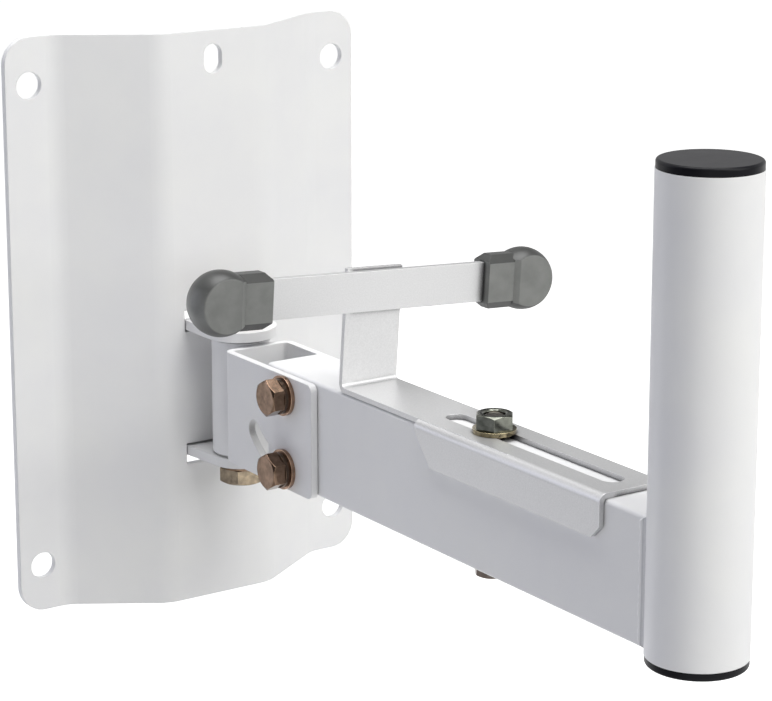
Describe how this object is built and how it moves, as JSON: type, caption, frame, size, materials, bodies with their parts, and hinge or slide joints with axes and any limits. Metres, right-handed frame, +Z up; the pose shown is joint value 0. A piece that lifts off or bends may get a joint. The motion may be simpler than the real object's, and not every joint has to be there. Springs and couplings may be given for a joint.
{
  "type": "speaker wall bracket",
  "caption": "Wall bracket for a loudspeaker: pressed wall plate, swivelling and tilting arm with an upright pole, and a sliding support bar with rubber ends.",
  "frame": {"origin": "middle of the four wall screw holes, on the wall plane", "axes": "+Y into the wall, +Z up, +X to the right as seen from the room; the arm reaches out along -Y"},
  "size_m": [0.1659, 0.3505, 0.241],
  "materials": {
    "white_coat": "semi-gloss white powder coat",
    "bronze_zinc": "bronze-tinted zinc plating",
    "dark_zinc": "grey zinc plating",
    "satin_aluminium": "satin blasted aluminium",
    "grey_rubber": "matt dark grey rubber",
    "black_plastic": "matt black plastic",
    "washer_plastic": "natural plastic"
  },
  "bodies": {
    "wall_mount": {"wall_plate": "white_coat", "pivot_yoke": "white_coat", "pivot_bolt": "bronze_zinc", "pivot_nut": "bronze_zinc", "pivot_nut_washer": "bronze_zinc", "pivot_spring_washer": "bronze_zinc", "lower_thrust_washer": "washer_plastic", "upper_thrust_washer": "washer_plastic"},
    "swivel": {"swivel_bracket": "white_coat", "pivot_sleeve": "white_coat", "tilt_pivot_bolt": "bronze_zinc", "tilt_pivot_spring_washer": "bronze_zinc", "tilt_pivot_washers": "bronze_zinc", "tilt_pivot_nut": "bronze_zinc"},
    "arm": {"arm_tube": "white_coat", "pole_tube": "white_coat", "pole_cap_top": "black_plastic", "pole_cap_bottom": "black_plastic", "tilt_clamp_bolt": "bronze_zinc", "tilt_clamp_spring_washer": "bronze_zinc", "tilt_clamp_washers": "bronze_zinc", "tilt_clamp_nut": "bronze_zinc", "slider_bolt": "bronze_zinc", "slider_nut": "dark_zinc", "slider_washers": "bronze_zinc"},
    "slider": {"support_slider": "satin_aluminium", "cross_bar": "satin_aluminium", "rubber_cap_left": "grey_rubber", "rubber_cap_right": "grey_rubber"}
  },
  "joints": [
    {"name": "arm_swivel", "type": "hinge", "parent": "wall_mount", "child": "swivel", "pos_m": [0, -0.045, -0.028], "axis": [0, 0, 1], "range_deg": [-45, 45]},
    {"name": "arm_tilt", "type": "hinge", "parent": "swivel", "child": "arm", "pos_m": [0, -0.1035, -0.013], "axis": [1, 0, 0], "range_deg": [0, 49]},
    {"name": "support_slide", "type": "slide", "parent": "arm", "child": "slider", "axis": [0, 1, 0], "range_m": [-0.012, 0.06]}
  ]
}
